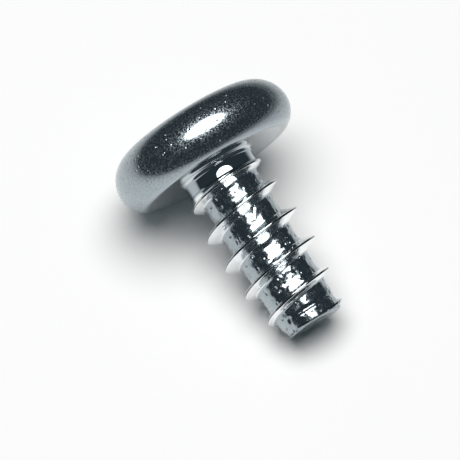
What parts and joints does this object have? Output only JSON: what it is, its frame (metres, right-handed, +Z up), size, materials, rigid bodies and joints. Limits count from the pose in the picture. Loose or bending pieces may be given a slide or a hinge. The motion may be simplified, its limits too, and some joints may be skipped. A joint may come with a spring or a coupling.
{
  "type": "sheet metal screw",
  "caption": "Short pan head tapping screw with a coarse right-hand thread, a flat end and a cross recess, lying on its side.",
  "frame": {"origin": "middle of the bounding box, on the surface that the lying screw rests on", "axes": "+X is level, from the head towards the flat end, +Z is up; the screw's own axis lies in the XZ plane and slopes down by 17.3 degrees towards +X"},
  "size_m": [0.0094, 0.007, 0.0068],
  "materials": {
    "zinc_plate": "bright plated steel, finely pitted on the thread"
  },
  "bodies": {
    "root": {"screw": "zinc_plate"}
  },
  "joints": []
}
